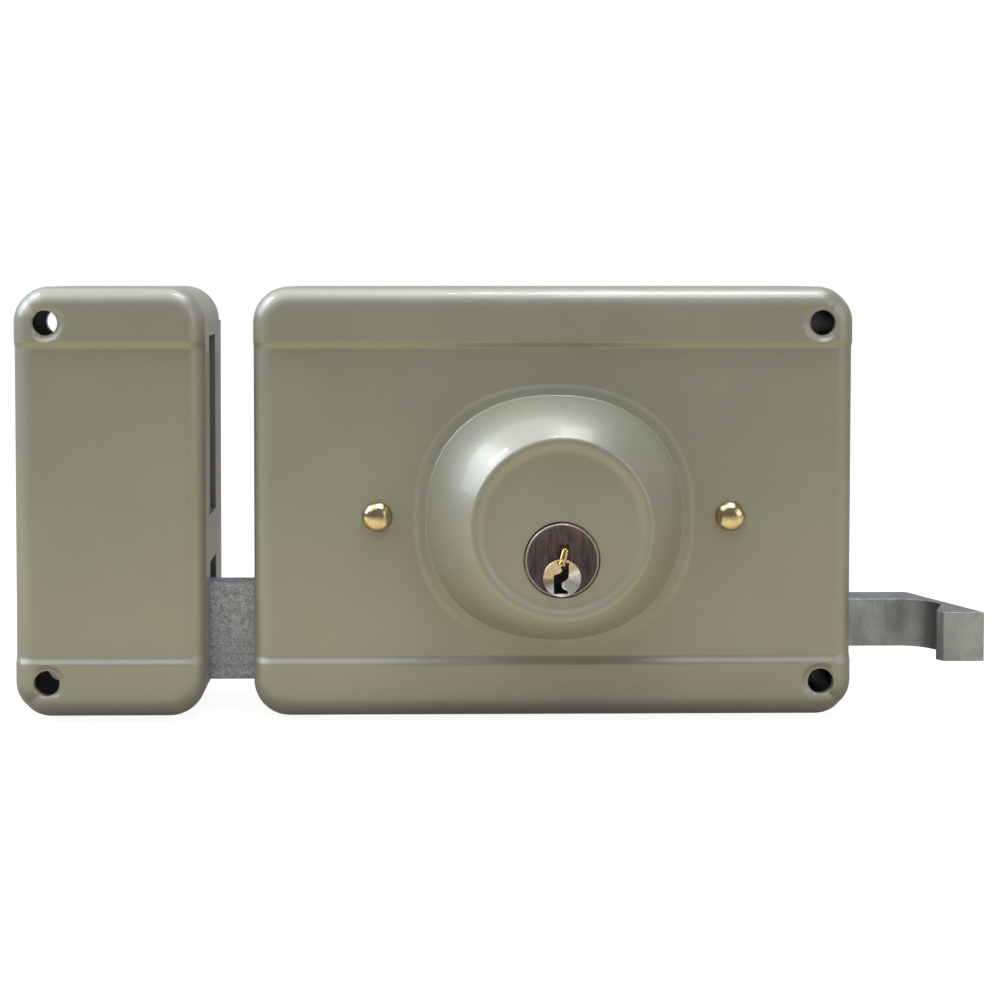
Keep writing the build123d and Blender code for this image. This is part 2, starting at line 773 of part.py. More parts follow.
def make_cylinder_plug():
    plug = rod_y(0, plug_z, plug_r, barrel_front_y, flange_back_y)
    plug += rod_y(0, plug_z, hub_r - 0.1, flange_back_y, tail_front_y - 0.1)
    blade_z = (plug_z - blade_half_z, plug_z + blade_half_z)
    plug += block(-blade_half_x, blade_half_x, tail_front_y - fit_gap, pinion_back_y + 2, *blade_z)
    plug -= turned(
        [
            (clip_inner_r, clip_front_y),
            (plug_r, clip_front_y),
            (plug_r, clip_back_y),
            (clip_inner_r, clip_back_y),
        ],
        0,
        plug_z,
    )
    keyway_back_y = first_pin_y + pin_count * pin_pitch
    upper = block(0.3, 1.5, barrel_front_y - 1, keyway_back_y, plug_z - 0.3, plug_z + 3.75)
    middle = block(-1.7, 1.5, barrel_front_y - 1, keyway_back_y, plug_z - 0.3, plug_z + 0.8)
    lower = block(-1.7, -0.3, barrel_front_y - 1, keyway_back_y, plug_z - 3.4, plug_z + 0.8)
    plug -= upper + middle + lower
    for number in range(pin_count):
        y = first_pin_y + number * pin_pitch
        plug -= rod_z(0, y, pin_r + running_gap, plug_z, plug_z + plug_r + 1)
    return plug


def make_plug_retainer():
    ring = turned(
        [
            (clip_inner_r + 0.05, clip_front_y + 0.05),
            (clip_outer_r, clip_front_y + 0.05),
            (clip_outer_r, clip_back_y - 0.05),
            (clip_inner_r + 0.05, clip_back_y - 0.05),
        ],
        0,
        plug_z,
    )
    mouth = block(-1.8, 1.8, clip_front_y - 1, clip_back_y + 1, plug_z - 7, plug_z)
    return ring - mouth


def pin_cut_length(number):
    # Five key pins of different lengths, as for a real key
    return (2.0, 2.8, 2.4, 3.2, 2.2)[number]


def make_key_pins():
    # The flat tops lie inside the plug's round, so that it turns
    top_z = plug_z + math.sqrt((plug_r - running_gap) ** 2 - pin_r ** 2)
    pins = []
    for number in range(pin_count):
        y = first_pin_y + number * pin_pitch
        pins.append(rod_z(0, y, pin_r, top_z - pin_cut_length(number), top_z))
    return Compound(children=pins)


def make_driver_pins():
    low_z = plug_z + plug_r + shear_gap
    pins = []
    for number in range(pin_count):
        y = first_pin_y + number * pin_pitch
        pins.append(rod_z(0, y, pin_r, low_z, low_z + driver_length))
    return Compound(children=pins)


def make_pin_springs():
    low_z = plug_z + plug_r + shear_gap + driver_length
    springs = []
    for number in range(pin_count):
        y = first_pin_y + number * pin_pitch
        tube = rod_z(0, y, pin_r - 0.05, low_z, cap_low_z)
        bore = rod_z(0, y, pin_r - 0.4, low_z - 1, cap_low_z + 1)
        springs.append(tube - bore)
    return Compound(children=springs)


def involute(angle):
    return math.tan(angle) - angle


def pinion_outline():
    base_r = pitch_r * math.cos(pressure_angle)
    tip_r = pitch_r + addendum
    root_r = pitch_r - dedendum
    half_at_pitch = (math.pi * gear_module / 2 - tooth_slack) / 2 / pitch_r
    steps = 6
    flank = []
    for step in range(steps + 1):
        r = base_r + (tip_r - base_r) * step / steps
        flank.append((r, half_at_pitch + involute(pressure_angle) - involute(math.acos(base_r / r))))
    points = []
    for tooth in range(pinion_teeth):
        middle = math.pi / 2 + tooth * 2 * math.pi / pinion_teeth
        rising = [(root_r, flank[0][1] + 0.02)] + flank
        turns = [(r, middle - half) for r, half in rising]
        turns += [(r, middle + half) for r, half in reversed(rising)]
        points += [(r * math.cos(turn), r * math.sin(turn)) for r, turn in turns]
    return Polygon(*points, align=None)


def make_drive_pinion():
    gear = slab(Pos(0, plug_z) * pinion_outline(), tail_front_y, pinion_back_y)
    hub_end_y = -0.3
    hub = rod_y(0, plug_z, hub_r, pinion_back_y, hub_end_y)
    pinion = gear + hub
    slot_gap = 0.02
    pinion -= block(
        -blade_half_x - slot_gap,
        blade_half_x + slot_gap,
        tail_front_y - 1,
        pinion_back_y + 2.2,
        plug_z - blade_half_z - slot_gap,
        plug_z + blade_half_z + slot_gap,
    )
    cross_depth = 8.0
    pinion -= block(-2.1, 2.1, hub_end_y - cross_depth, 1, plug_z - 0.7, plug_z + 0.7)
    pinion -= block(-0.7, 0.7, hub_end_y - cross_depth, 1, plug_z - 2.1, plug_z + 2.1)
    return pinion


# Strike

def make_strike_plate():
    inner = rounded_slab(
        strike_left + skin + fit_gap,
        strike_plate_right + 4,
        cover_half_z - skin - fit_gap,
        corner_r - skin - fit_gap,
        -shelf_depth,
        0,
    )
    tall = (-cover_half_z, cover_half_z)
    riser_right = strike_step_x + plate_t
    front_zone = block(strike_left, riser_right, -shelf_depth, plate_t - shelf_depth, *tall)
    riser_zone = block(strike_step_x, riser_right, -shelf_depth, 0, *tall)
    flange_zone = block(strike_step_x, strike_plate_right, back_plate_front, 0, -leg_half_z, leg_half_z)
    plate = inner & (front_zone + riser_zone + flange_zone)
    leg_left = strike_plate_right - plate_t
    plate += block(leg_left, strike_plate_right, back_plate_front, leg_depth, -leg_half_z, leg_half_z)
    for z in leg_hole_zs:
        plate -= rod_x(leg_hole_y, z, leg_hole_r, leg_left - 1, strike_plate_right + 1)
    for z in (-fixing_z, fixing_z):
        plate -= rod_y(strike_fixing_x, z, fixing_r, -shelf_depth - over, plate_t - shelf_depth + over)
    for z in strike_rivet_zs:
        plate -= rod_y(strike_rivet_x, z, rivet_hole_r, back_plate_front - 1, 1)
    return plate


def make_strike_keeper():
    left = keeper_right - plate_t
    flat = (-flat_half_z, flat_half_z)
    side = block(left, keeper_right, inner_y, back_plate_front, -guide_half_z, guide_half_z)
    front = block(keeper_left, keeper_right, inner_y, inner_y + plate_t, *flat)
    back = block(keeper_left, keeper_right, back_plate_front - plate_t, back_plate_front, *flat)
    keeper = side + front + back - strike_mouths(left - 1, keeper_right + 1)
    keeper &= cover_hollow(strike_left, strike_right)
    for z in strike_rivet_zs:
        keeper -= rod_y(strike_rivet_x, z, rivet_hole_r, -2 * plate_t - over, back_plate_front + over)
    return keeper


def make_strike_rivets():
    head_y = back_plate_front - plate_t
    return Compound(children=[rivet(strike_rivet_x, z, head_y, 0) for z in strike_rivet_zs])


parts["case_cover"] = make_case_cover()
parts["back_plate"] = make_back_plate()
parts["back_plate_screws"] = make_back_plate_screws()
parts["cover_posts"] = make_cover_posts()
parts["screw_sleeves"] = make_screw_sleeves()
parts["armour_plate"] = make_armour_plate()
parts["dome_screw_left"] = make_dome_screw(-dome_screw_x)
parts["dome_screw_right"] = make_dome_screw(dome_screw_x)
parts["dome_screw_nuts"] = make_dome_screw_nuts()
parts["bolt_guide_plate"] = make_bolt_guide_plate()
parts["deadbolt_guide_pins"] = make_deadbolt_guide_pins()
parts["deadbolt"] = make_deadbolt()
parts["deadbolt_rollers"] = make_deadbolt_rollers()
parts["deadbolt_tail"] = make_deadbolt_tail()
parts["tail_rivets"] = make_tail_rivets()
parts["latch_bolt"] = make_latch_bolt()
parts["latch_carriage"] = make_latch_carriage()
parts["latch_rivets"] = make_latch_rivets()
parts["hook_rivets"] = make_hook_rivets()
parts["pull_hook"] = make_pull_hook()
parts["latch_spring_stop"] = make_latch_spring_stop()
parts["latch_spring"] = make_latch_spring()
parts["cylinder_body"] = make_cylinder_body()
parts["notch_pin"] = make_notch_pin()
parts["cylinder_screws"] = make_cylinder_screws()
parts["pin_chamber_cap"] = make_pin_chamber_cap()
parts["driver_pins"] = make_driver_pins()
parts["pin_springs"] = make_pin_springs()
parts["cylinder_plug"] = make_cylinder_plug()
parts["plug_retainer"] = make_plug_retainer()
parts["key_pins"] = make_key_pins()
parts["drive_pinion"] = make_drive_pinion()
parts["strike_cover"] = make_strike_cover()
parts["strike_plate"] = make_strike_plate()
parts["strike_keeper"] = make_strike_keeper()
parts["strike_rivets"] = make_strike_rivets()

os.makedirs("parts", exist_ok=True)
for name, shape in parts.items():
    export_step(shape, f"parts/{name}.step")
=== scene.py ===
import json
import math

import bmesh
import bpy
from mathutils import Matrix, Vector


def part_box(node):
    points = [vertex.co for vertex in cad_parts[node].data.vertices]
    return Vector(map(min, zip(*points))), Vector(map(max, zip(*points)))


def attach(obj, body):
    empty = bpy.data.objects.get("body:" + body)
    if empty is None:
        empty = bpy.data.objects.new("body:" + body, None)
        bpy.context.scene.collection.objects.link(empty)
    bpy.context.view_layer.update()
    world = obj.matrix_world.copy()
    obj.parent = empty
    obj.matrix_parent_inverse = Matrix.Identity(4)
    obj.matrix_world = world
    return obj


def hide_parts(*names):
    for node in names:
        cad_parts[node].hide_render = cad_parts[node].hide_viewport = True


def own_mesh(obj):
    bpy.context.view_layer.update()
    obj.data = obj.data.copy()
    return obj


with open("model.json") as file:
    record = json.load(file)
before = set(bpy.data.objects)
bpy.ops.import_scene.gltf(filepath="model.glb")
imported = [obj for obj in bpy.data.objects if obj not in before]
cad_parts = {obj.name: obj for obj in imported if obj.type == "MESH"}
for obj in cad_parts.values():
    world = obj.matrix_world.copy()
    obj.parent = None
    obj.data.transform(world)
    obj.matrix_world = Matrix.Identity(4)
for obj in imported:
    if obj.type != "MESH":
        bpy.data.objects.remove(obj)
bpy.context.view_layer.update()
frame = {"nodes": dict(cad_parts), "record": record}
nodes = frame["nodes"]
mm = 0.001


# One socket of a node tree, with arithmetic on it

class Wire:
    def __init__(self, tree, socket=None):
        self.tree = tree
        self.socket = socket

    def make(self, kind, settings=None, values=None, out=0):
        node = self.tree.nodes.new("ShaderNode" + kind)
        for key, value in (settings or {}).items():
            if key == "stops":
                fillRamp(node.color_ramp, value)
            else:
                setattr(node, key, value)
        for key, value in (values or {}).items():
            if isinstance(value, Wire):
                self.tree.links.new(value.socket, node.inputs[key])
            else:
                node.inputs[key].default_value = value
        return Wire(self.tree, node.outputs[out] if len(node.outputs) else None)

    def arith(self, operation, *terms):
        return self.make("Math", {"operation": operation}, dict(enumerate(terms)))

    def vector(self, operation, values, out=0):
        return self.make("VectorMath", {"operation": operation}, values, out)

    def __add__(self, other):
        return self.arith("ADD", self, other)

    def __radd__(self, other):
        return self.arith("ADD", other, self)

    def __sub__(self, other):
        return self.arith("SUBTRACT", self, other)

    def __rsub__(self, other):
        return self.arith("SUBTRACT", other, self)

    def __mul__(self, other):
        return self.arith("MULTIPLY", self, other)

    def __rmul__(self, other):
        return self.arith("MULTIPLY", other, self)

    def __truediv__(self, other):
        return self.arith("DIVIDE", self, other)

    def __rtruediv__(self, other):
        return self.arith("DIVIDE", other, self)


def fillRamp(ramp, stops):
    while len(ramp.elements) < len(stops):
        ramp.elements.new(1.0)
    for element, (place, colour) in zip(ramp.elements, stops):
        element.position = place
        element.color = colour


def grey(level):
    return (level, level, level, 1.0)


def startFinish(name):
    material = bpy.data.materials.new(name)
    material.use_nodes = True
    material.node_tree.nodes.clear()
    return material, Wire(material.node_tree)


def endFinish(wire, values, height, depth):   # depth of the relief in mm
    relief = {"Height": height, "Distance": depth * mm, "Strength": 1.0}
    values["Normal"] = wire.make("Bump", None, relief)
    surface = wire.make("BsdfPrincipled", None, values)
    wire.make("OutputMaterial", None, {"Surface": surface})


def placeInMm(wire, stretch=(1.0, 1.0, 1.0)):   # a point of the piece in millimetres
    point = wire.make("TexCoord", out=3)
    scale = tuple(1000.0 * part for part in stretch)
    return point.vector("MULTIPLY", {0: point, 1: scale})


def noiseAt(point, size, detail=3.0, roughness=0.5):   # size is the width of a patch in mm
    values = {"Vector": point, "Scale": 1.0 / size, "Detail": detail, "Roughness": roughness}
    return point.make("TexNoise", None, values)


def between(wire, low, high):   # 0 below low, 1 above high
    values = {0: wire, 1: low, 2: high, 3: 0.0, 4: 1.0}
    return wire.make("MapRange", {"interpolation_type": "SMOOTHSTEP"}, values)


def blendColour(factor, first, second):
    return factor.make("Mix", {"data_type": "RGBA"}, {0: factor, 6: first, 7: second}, 2)


def acrossAxis(point, axis):   # from an axis along Y to the point
    offset = point.vector("SUBTRACT", {0: point, 1: axis})
    return point.vector("MULTIPLY", {0: offset, 1: (1.0, 0.0, 1.0)})


def fromAxis(point, axis):
    return point.vector("LENGTH", {0: acrossAxis(point, axis)}, 1)


# Meshes

weldGap = 1e-7   # metres
softUnder = 32   # edges up to this many degrees are shaded smooth


def linked(name, data):
    piece = bpy.data.objects.new(name, data)
    bpy.context.scene.collection.objects.link(piece)
    return piece


def newPiece(name, points, faces):   # points in millimetres
    mesh = bpy.data.meshes.new(name)
    mesh.from_pydata([(x * mm, y * mm, z * mm) for x, y, z in points], [], faces)
    cleanMesh(mesh)
    return linked(name, mesh)


def cleanMesh(mesh):
    work = bmesh.new()
    work.from_mesh(mesh)
    bmesh.ops.remove_doubles(work, verts=work.verts, dist=weldGap)
    bmesh.ops.recalc_face_normals(work, faces=work.faces)
    work.to_mesh(mesh)
    work.free()


def settle(piece):   # the modifiers become part of the mesh
    graph = bpy.context.evaluated_depsgraph_get()
    done = bpy.data.meshes.new_from_object(piece.evaluated_get(graph), depsgraph=graph)
    piece.modifiers.clear()
    piece.data = done


def shadeSoft(piece, angle=softUnder):
    piece.data.shade_smooth()
    piece.data.set_sharp_from_angle(angle=math.radians(angle))


def cutAway(piece, cutters):
    for cutter in cutters:
        modifier = piece.modifiers.new("cut", "BOOLEAN")
        modifier.object = cutter
        modifier.solver = "EXACT"
    settle(piece)
    for cutter in cutters:
        bpy.data.objects.remove(cutter)


def joinPieces(name, parts):
    work = bmesh.new()
    for part in parts:
        work.from_mesh(part.data)
    mesh = bpy.data.meshes.new(name)
    work.to_mesh(mesh)
    work.free()
    for part in parts:
        bpy.data.objects.remove(part)
    return linked(name, mesh)


def along(axis, a, b, c):   # a and b lie across the axis, c along it
    return {"x": (c, a, b), "y": (a, c, b), "z": (a, b, c)}[axis]


def prism(name, outline, low, high, axis):
    count = len(outline)
    points = [along(axis, a, b, c) for c in (low, high) for a, b in outline]
    faces = [tuple(range(count)), tuple(range(count, 2 * count))]
    for i in range(count):
        j = (i + 1) % count
        faces.append((i, j, count + j, count + i))
    return newPiece(name, points, faces)


def circle(a, b, radius, count=48):
    turns = [2 * math.pi * i / count for i in range(count)]
    return [(a + radius * math.cos(t), b + radius * math.sin(t)) for t in turns]


def boxOutline(a0, a1, b0, b1):
    return [(a0, b0), (a1, b0), (a1, b1), (a0, b1)]


def softCorners(points, radii, steps=5, closed=False):   # each corner becomes a short curve
    count = len(points)
    most = 0.48   # share of an edge that a corner may take
    soft = []
    for i, corner in enumerate(points):
        radius = radii[i] if isinstance(radii, (list, tuple)) else radii
        if radius <= 0 or (not closed and i in (0, count - 1)):
            soft.append(corner)
            continue
        here = Vector(corner)
        before = Vector(points[i - 1]) - here
        after = Vector(points[(i + 1) % count]) - here
        reach = min(radius, most * before.length, most * after.length)
        start = here + before.normalized() * reach
        end = here + after.normalized() * reach
        for step in range(steps + 1):
            t = step / steps
            soft.append(tuple(start * (1 - t) ** 2 + here * 2 * t * (1 - t) + end * t ** 2))
    return soft


def ringFaces(first, second, count):
    faces = []
    for i in range(count):
        j = (i + 1) % count
        faces.append((first + i, first + j, second + j, second + i))
    return faces


def lathe(name, profile, x, z, count=96):   # radius and Y pairs, turned about an axis along Y
    points = []
    for radius, y in profile:
        points += [(a, y, b) for a, b in circle(x, z, radius, count)]
    faces = []
    for ring in range(len(profile) - 1):
        faces += ringFaces(ring * count, (ring + 1) * count, count)
    return newPiece(name, points, faces)


def spread(marks):   # places along a line, with the spacing that follows each mark
    line = []
    for (start, gap), (end, _) in zip(marks, marks[1:]):
        parts = max(1, round((end - start) / gap))
        line += [start + (end - start) * i / parts for i in range(parts)]
    return line + [marks[-1][0]]


def smoothRise(t):
    t = min(max(t, 0.0), 1.0)
    return t * t * (3 - 2 * t)


def finishPiece(piece, finish, body, replaced):
    piece.data.materials.clear()
    piece.data.materials.append(finish)
    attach(piece, body)
    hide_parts(replaced)


print("finishes")

paint = {
    "colour": (0.232, 0.218, 0.160, 1.0),
    "cloud": (0.212, 0.200, 0.150, 1.0),
    "glint": (0.62, 0.60, 0.50, 1.0),
    "metal": 0.15,
    "roughness": 0.37,
    "smear": 0.12,
    "coat": 0.3,
    "coatRoughness": 0.06,
    "flake": 0.06,
    "peelDepth": 0.012,
    # widths of the patches in mm
    "cloudSize": 34.0,
    "flakeSize": 0.12,
    "peelSize": 0.9,
    "smearSize": 12.0,
}


def makePaint():
    material, wire = startFinish("champagne_lacquer")
    point = placeInMm(wire)
    cloud = between(noiseAt(point, paint["cloudSize"], 4.0), 0.35, 0.7)
    flake = noiseAt(point, paint["flakeSize"], 1.0, 0.6)
    peel = noiseAt(point, paint["peelSize"], 2.0, 0.55)
    smear = noiseAt(point, paint["smearSize"], 5.0, 0.62)
    colour = blendColour(cloud, paint["colour"], paint["cloud"])
    colour = blendColour(between(flake, 0.25, 0.8) * paint["flake"], colour, paint["glint"])
    values = {
        "Base Color": colour, "Metallic": paint["metal"],
        "Roughness": paint["roughness"] + paint["smear"] * smear, "Specular IOR Level": 1.0,
        "Coat Weight": paint["coat"], "Coat Roughness": paint["coatRoughness"],
    }
    endFinish(wire, values, peel + 0.1 * flake, paint["peelDepth"])
    return material


# a bare metal: its grain is stretched along the way it was drawn or brushed,
# grain and patch are widths in mm, depth is the relief in mm
metals = {
    "satin_zinc": {
        "colour": (0.34, 0.352, 0.38, 1.0), "dark": (0.16, 0.166, 0.18, 1.0), "roughness": 0.34,
        "grain": 0.3, "stretch": (1.0, 1.0, 0.1), "depth": 0.03, "metal": 1.0, "patch": 9.0,
    },
    "zinc_plate": {
        "colour": (0.27, 0.272, 0.275, 1.0), "dark": (0.17, 0.172, 0.18, 1.0), "roughness": 0.3,
        "grain": 0.5, "stretch": (1.0, 1.0, 0.1), "depth": 0.02, "metal": 1.0, "patch": 14.0,
    },
    "dull_steel": {
        "colour": (0.44, 0.452, 0.50, 1.0), "dark": (0.28, 0.29, 0.32, 1.0), "roughness": 0.36,
        "grain": 0.5, "stretch": (1.0, 1.0, 0.1), "depth": 0.02, "metal": 1.0, "patch": 14.0,
    },
    "hardened_steel": {
        "colour": (0.2, 0.19, 0.19, 1.0), "dark": (0.09, 0.085, 0.09, 1.0), "roughness": 0.32,
        "grain": 0.4, "stretch": (0.15, 1.0, 1.0), "depth": 0.02, "metal": 1.0, "patch": 9.0,
    },
    # near-black: painted shade for the sleeves deep in the fixing holes
    "hole_shade_black": {
        "colour": (0.022, 0.021, 0.022, 1.0), "dark": (0.01, 0.01, 0.01, 1.0), "roughness": 0.38,
        "grain": 0.4, "stretch": (1.0, 0.15, 1.0), "depth": 0.02, "metal": 0.6, "patch": 9.0,
    },
    "spring_steel": {
        "colour": (0.3, 0.3, 0.31, 1.0), "dark": (0.13, 0.13, 0.14, 1.0), "roughness": 0.25,
        "grain": 0.3, "stretch": (1.0, 1.0, 1.0), "depth": 0.01, "metal": 1.0, "patch": 9.0,
    },
}


def makeMetal(name):
    metal = metals[name]
    material, wire = startFinish(name)
    point = placeInMm(wire)
    grain = noiseAt(placeInMm(wire, metal["stretch"]), metal["grain"], 4.0, 0.6)
    patches = between(noiseAt(point, metal["patch"], 5.0, 0.6), 0.35, 0.72)
    speck = between(noiseAt(point, 0.5, 2.0, 0.6), 0.55, 0.8)
    shade = blendColour(patches * 0.5, metal["colour"], metal["dark"])
    shade = blendColour(between(grain, 0.3, 0.75) * 0.35, shade, metal["dark"])
    rough = metal["roughness"] + 0.14 * grain + 0.08 * patches + 0.05 * speck
    values = {"Base Color": shade, "Metallic": metal["metal"], "Roughness": rough}
    endFinish(wire, values, grain + 0.3 * speck, metal["depth"])
    return material


sinteredFinish = {
    "dark": (0.225, 0.225, 0.262, 1.0),
    "light": (0.64, 0.65, 0.76, 1.0),
    "pit": (0.07, 0.065, 0.075, 1.0),
    "metal": 0.75,
    "roughness": 0.42,
    "depth": 0.09,
    "grainSize": 0.42,
    "mottleSize": 1.7,
    "pitSize": 0.3,
}


def makeSintered():   # mottled, slightly open grain of the latch
    material, wire = startFinish("sintered_steel")
    point = placeInMm(wire)
    grain = noiseAt(point, sinteredFinish["grainSize"], 3.0, 0.7)
    mottle = noiseAt(point, sinteredFinish["mottleSize"], 4.0, 0.65)
    pits = between(noiseAt(point, sinteredFinish["pitSize"], 1.0, 0.5), 0.58, 0.72)
    tone = between(0.55 * grain + 0.45 * mottle, 0.36, 0.64)
    colour = blendColour(tone, sinteredFinish["dark"], sinteredFinish["light"])
    colour = blendColour(pits * 0.6, colour, sinteredFinish["pit"])
    roughness = sinteredFinish["roughness"] + 0.2 * tone
    values = {"Base Color": colour, "Metallic": sinteredFinish["metal"], "Roughness": roughness}
    endFinish(wire, values, grain - 0.6 * pits, sinteredFinish["depth"])
    return material


barrelFinish = {
    "axis": (0.0, 0.0, -10.8),
    "dark": (0.034, 0.0275, 0.031, 1.0),
    "light": (0.108, 0.09, 0.098, 1.0),
    "rust": (0.12, 0.045, 0.025, 1.0),
    "rimHighlight": (0.42, 0.38, 0.33, 1.0),
    "rimHighlightRadii": (8.2, 8.5),   # radii between which the painted rim highlight comes in
    "metal": 0.9,
    "roughness": 0.3,
    "depth": 0.03,
}


def makeBarrelMetal():   # dark turned brass, brushed upwards, with a light ring painted at its rim as a highlight
    material, wire = startFinish("barrel_metal")
    point = placeInMm(wire)
    streak = noiseAt(placeInMm(wire, (1.0, 1.0, 0.09)), 0.22, 3.0, 0.65)
    wide = noiseAt(placeInMm(wire, (1.0, 1.0, 0.16)), 1.1, 3.0, 0.6)
    rust = between(noiseAt(point, 2.2, 4.0, 0.6), 0.5, 0.7)
    tone = between(0.5 * streak + 0.5 * wide, 0.34, 0.66)
    colour = blendColour(tone, barrelFinish["dark"], barrelFinish["light"])
    colour = blendColour(rust * 0.5, colour, barrelFinish["rust"])
    # painted highlight: a light ring round the rim of the face
    edge = between(fromAxis(point, barrelFinish["axis"]), *barrelFinish["rimHighlightRadii"])
    colour = blendColour(edge * 0.85, colour, barrelFinish["rimHighlight"])
    roughness = barrelFinish["roughness"] + 0.18 * tone
    values = {"Base Color": colour, "Metallic": barrelFinish["metal"], "Roughness": roughness}
    endFinish(wire, values, streak, barrelFinish["depth"])
    return material


plugFinish = {
    "axis": (0.0, 0.0, -15.1),
    "pitch": 0.5,
    "depth": 0.004,
    "worn": (0.42, 0.40, 0.37, 1.0),
    "roughness": 0.24,
    # painted sheen of a turned face: wedges of painted highlight and painted shade,
    # by the direction from the axis: 0 and 1 to the left, 0.5 to the right
    "painted_sheen": [
        (0.0, (0.39, 0.32, 0.24, 1.0)), (0.05, (0.16, 0.14, 0.13, 1.0)),
        (0.11, (0.46, 0.46, 0.49, 1.0)), (0.24, (0.76, 0.77, 0.83, 1.0)),
        (0.33, (0.34, 0.36, 0.38, 1.0)), (0.44, (0.30, 0.32, 0.33, 1.0)),
        (0.52, (0.63, 0.64, 0.66, 1.0)), (0.56, (0.90, 0.87, 0.82, 1.0)),
        (0.61, (0.60, 0.50, 0.38, 1.0)), (0.8, (0.76, 0.62, 0.46, 1.0)),
        (0.96, (0.64, 0.51, 0.36, 1.0)),
    ],
}


def makeNickel():   # turning marks round the plug's axis, and a sheen painted into the colour as light and dark wedges
    material, wire = startFinish("turned_nickel")
    point = placeInMm(wire)
    across = acrossAxis(point, plugFinish["axis"])
    x = wire.make("SeparateXYZ", None, {0: across}, 0)
    z = wire.make("SeparateXYZ", None, {0: across}, 2)
    wave = fromAxis(point, plugFinish["axis"]) * (2 * math.pi / plugFinish["pitch"])
    groove = wave.arith("SINE", wave)
    fine = noiseAt(point, 0.4, 3.0, 0.6)
    wear = between(noiseAt(point, 1.6, 3.0, 0.6), 0.5, 0.75)
    turn = z.arith("ARCTAN2", z, x) / (2 * math.pi) + 0.5 + 0.02 * (fine - 0.5)
    # painted highlight and shade: the colour turns light and dark by the direction from the axis
    painted_sheen = wire.make("ValToRGB", {"stops": plugFinish["painted_sheen"]}, {0: turn})
    colour = blendColour(wear * 0.3, painted_sheen, plugFinish["worn"])
    roughness = plugFinish["roughness"] + 0.06 * fine + 0.06 * wear
    values = {"Base Color": colour, "Metallic": 1.0, "Roughness": roughness}
    endFinish(wire, values, groove + 0.1 * fine, plugFinish["depth"])
    return material


brasses = {
    "polished_brass": {
        "colour": (0.56, 0.46, 0.28, 1.0), "dark": (0.34, 0.26, 0.13, 1.0), "roughness": 0.13,
    },
    "aged_brass": {
        "colour": (0.55, 0.38, 0.14, 1.0), "dark": (0.2, 0.12, 0.04, 1.0), "roughness": 0.16,
    },
}
scratchDepth = 0.012


def makeBrass(name):
    metal = brasses[name]
    material, wire = startFinish(name)
    point = placeInMm(wire)
    tone = between(noiseAt(point, 1.4, 4.0, 0.6), 0.4, 0.7)
    scratch = noiseAt(placeInMm(wire, (1.0, 1.0, 0.2)), 0.18, 2.0, 0.6)
    shade = blendColour(tone * 0.6, metal["colour"], metal["dark"])
    rough = metal["roughness"] + 0.08 * tone + 0.05 * scratch
    values = {"Base Color": shade, "Metallic": 1.0, "Roughness": rough}
    endFinish(wire, values, scratch + 0.8 * tone, scratchDepth)
    return material


lacquer = makePaint()
satinZinc = makeMetal("satin_zinc")
zincPlate = makeMetal("zinc_plate")
dullSteel = makeMetal("dull_steel")
hardSteel = makeMetal("hardened_steel")
holeShadeBlack = makeMetal("hole_shade_black")
springSteel = makeMetal("spring_steel")
sintered = makeSintered()
barrelMetal = makeBarrelMetal()
nickel = makeNickel()
brass = makeBrass("polished_brass")
agedBrass = makeBrass("aged_brass")


print("covers")

# all lengths in millimetres, depths measured from the mounting face
cover = {
    "halfHeight": 53.8,
    "depth": 36.0,
    "skin": 1.5,
    "cornerRadius": 9.0,
    "edgeRadius": 5.0,
    "edgeSteps": 12,
    "wallSteps": 6,
    "panelDrop": 1.0,
    "stepFoot": 38.2,
    "stepTop": 40.5,
    "holeRadius": 3.15,
    "holeCut": (-38, -30),
    "dishRadius": 5.2,
    "dishRim": 0.2,
    "dishDepth": 0.8,
    "dishFade": 1.6,
}

dome = {
    "z": -3.5,
    "blockX": 37.0,
    "blockLow": -37.5,
    "blockHigh": 34.0,
    "webShares": (0.35, 0.7),
    "wider": 1.1,
    "lower": 0.9,
    "square": 0.3,
    "noseRadius": 22.0,
    "noseInner": 12.0,
    "noseHoleRadius": 9.15,
    "noseHoleZ": -10.8,
    "noseCut": (-60, -50),
    # radius and height over the panel: the low ring, the bulging side and the crest of the nose
    "ring": [(34.7, 0.0), (34.0, 0.0), (33.0, 0.3), (30.95, 0.4)],
    "ringSoftness": [0, 0.5, 0.5, 0.35],
    "side": [(31.0, 0.3), (29.89, 9.55), (27.3, 15.3), (23.2, 19.8)],
    "sideStart": 3,
    "sideSteps": 18,
    "crest": [(21.6, 21.5), (20.3, 21.5), (18.5, 20.7), (16.8, 20.7)],
    "crestSoftness": [1.0, 0.5, 0.8, 0],
    "cornerSteps": 6,
}

# columns and rows: places across and up, with the spacing of the mesh that follows each
# windows and mouths: low and high Y, low and high Z
caseCover = {
    "sides": (-75.0, 75.0),
    "columns": [
        (-70.0, 0.75), (-66.0, 2.6), (-37.0, 2.4), (37.0, 2.4), (60.0, 0.45), (66.0, 0.45),
        (70.0, 0.45),
    ],
    "rows": [
        (-48.8, 0.45), (-44.0, 0.45), (-41.2, 0.28), (-37.5, 2.4), (34.0, 1.2), (37.5, 0.28),
        (41.2, 0.45), (44.0, 0.45), (48.8, 0.45),
    ],
    "holes": [(66.7, 44.8), (66.7, -44.8)],
    "screwXs": (-44.0, 44.0),
    "screwRadius": 2.2,
    "leftCut": (-78, -70),
    "rightCut": (70, 78),
    "deadboltWindow": (-22.8, -9.2, -4.5, 41.1),
    "latchWindow": (-22.8, -14.2, -47.8, -21.2),
    "hookWindow": (-15.7, -4.8, -41.0, -27.6),
}

